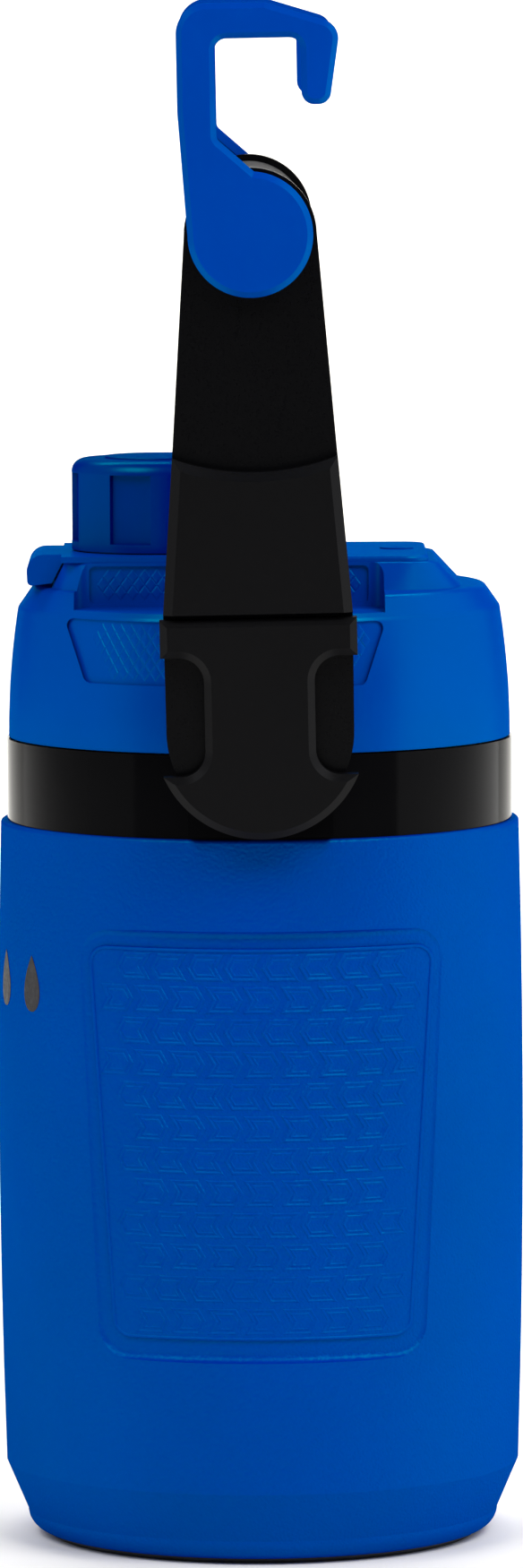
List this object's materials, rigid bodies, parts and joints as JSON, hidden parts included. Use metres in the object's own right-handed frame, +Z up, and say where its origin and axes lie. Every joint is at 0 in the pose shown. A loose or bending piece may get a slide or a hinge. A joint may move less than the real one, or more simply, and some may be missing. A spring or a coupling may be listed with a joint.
{
  "type": "insulated water jug",
  "caption": "Insulated half-gallon jug with a screw lid, a capped drinking spout, a swinging carry handle and fold-down fence hooks.",
  "frame": {"origin": "centre of the base, on the surface it stands on", "axes": "+Z up along the body's axis; -X is the front, where the spout is; the handle's arms are at -Y (left) and +Y (right)"},
  "size_m": [0.141, 0.165, 0.4117],
  "materials": {
    "shell_blue": "fine pebble texture",
    "lid_blue": "smooth semi-gloss",
    "cap_blue": "smooth semi-gloss",
    "hook_blue": "smooth semi-gloss",
    "foam": "rigid foam",
    "liner_white": "food-grade, satin",
    "spout_white": "food-grade, satin",
    "foot_black": "matte",
    "band_black": "glossy",
    "handle_black": "satin",
    "cover_black": "fine grain",
    "grip_rubber": "soft",
    "silicone": "soft, translucent",
    "steel": "brushed"
  },
  "bodies": {
    "jug": {"outer_shell": "shell_blue", "foam_core": "foam", "inner_liner": "liner_white", "base_foot": "foot_black", "neck_collar": "band_black", "pivot_pin_left": "steel", "pivot_pin_right": "steel"},
    "lid_seal": {"lid_gasket": "silicone"},
    "lid": {"lid_shell": "lid_blue", "lid_liner": "liner_white", "lid_foam": "foam", "spout": "spout_white", "rear_strap": "lid_blue", "strap_rivet": "lid_blue", "flap_hinge_pin": "steel"},
    "flap": {"cap_flap": "lid_blue"},
    "cap": {"cap_shell": "cap_blue", "cap_seal": "silicone"},
    "handle": {"arm_left": "handle_black", "arm_right": "handle_black", "arm_sleeve_left": "cover_black", "arm_sleeve_right": "cover_black", "pivot_cover_left": "cover_black", "pivot_cover_right": "cover_black", "grip_core": "handle_black", "grip_sleeve": "grip_rubber", "handle_screws": "steel", "cover_screws": "steel"},
    "hook_l": {"hook_left": "hook_blue", "hook_clip_left": "steel"},
    "hook_r": {"hook_right": "hook_blue", "hook_clip_right": "steel"}
  },
  "joints": [
    {"name": "lid_lift", "type": "slide", "parent": "jug", "child": "lid_seal", "axis": [0, 0, 1], "range_m": [0, 0.04]},
    {"name": "lid_turn", "type": "hinge", "parent": "lid_seal", "child": "lid", "pos_m": [0, 0, 0.225], "axis": [0, 0, 1], "range_deg": [0, 360]},
    {"name": "flap_open", "type": "hinge", "parent": "lid", "child": "flap", "pos_m": [0.006, 0, 0.2646], "axis": [0, 1, 0], "range_deg": [0, 100]},
    {"name": "cap_turn", "type": "hinge", "parent": "flap", "child": "cap", "pos_m": [-0.026, 0, 0.275], "axis": [0, 0, 1], "range_deg": [0, 360]},
    {"name": "handle_swing", "type": "hinge", "parent": "jug", "child": "handle", "pos_m": [0, 0, 0.222], "axis": [0, 1, 0], "range_deg": [-128, 130]},
    {"name": "hook_left_fold", "type": "hinge", "parent": "handle", "child": "hook_l", "pos_m": [-0.00204, 0, 0.35158], "axis": [0, 1, 0], "range_deg": [0, 180]},
    {"name": "hook_right_fold", "type": "hinge", "parent": "handle", "child": "hook_r", "pos_m": [-0.00204, 0, 0.35158], "axis": [0, 1, 0], "range_deg": [0, 180]}
  ]
}
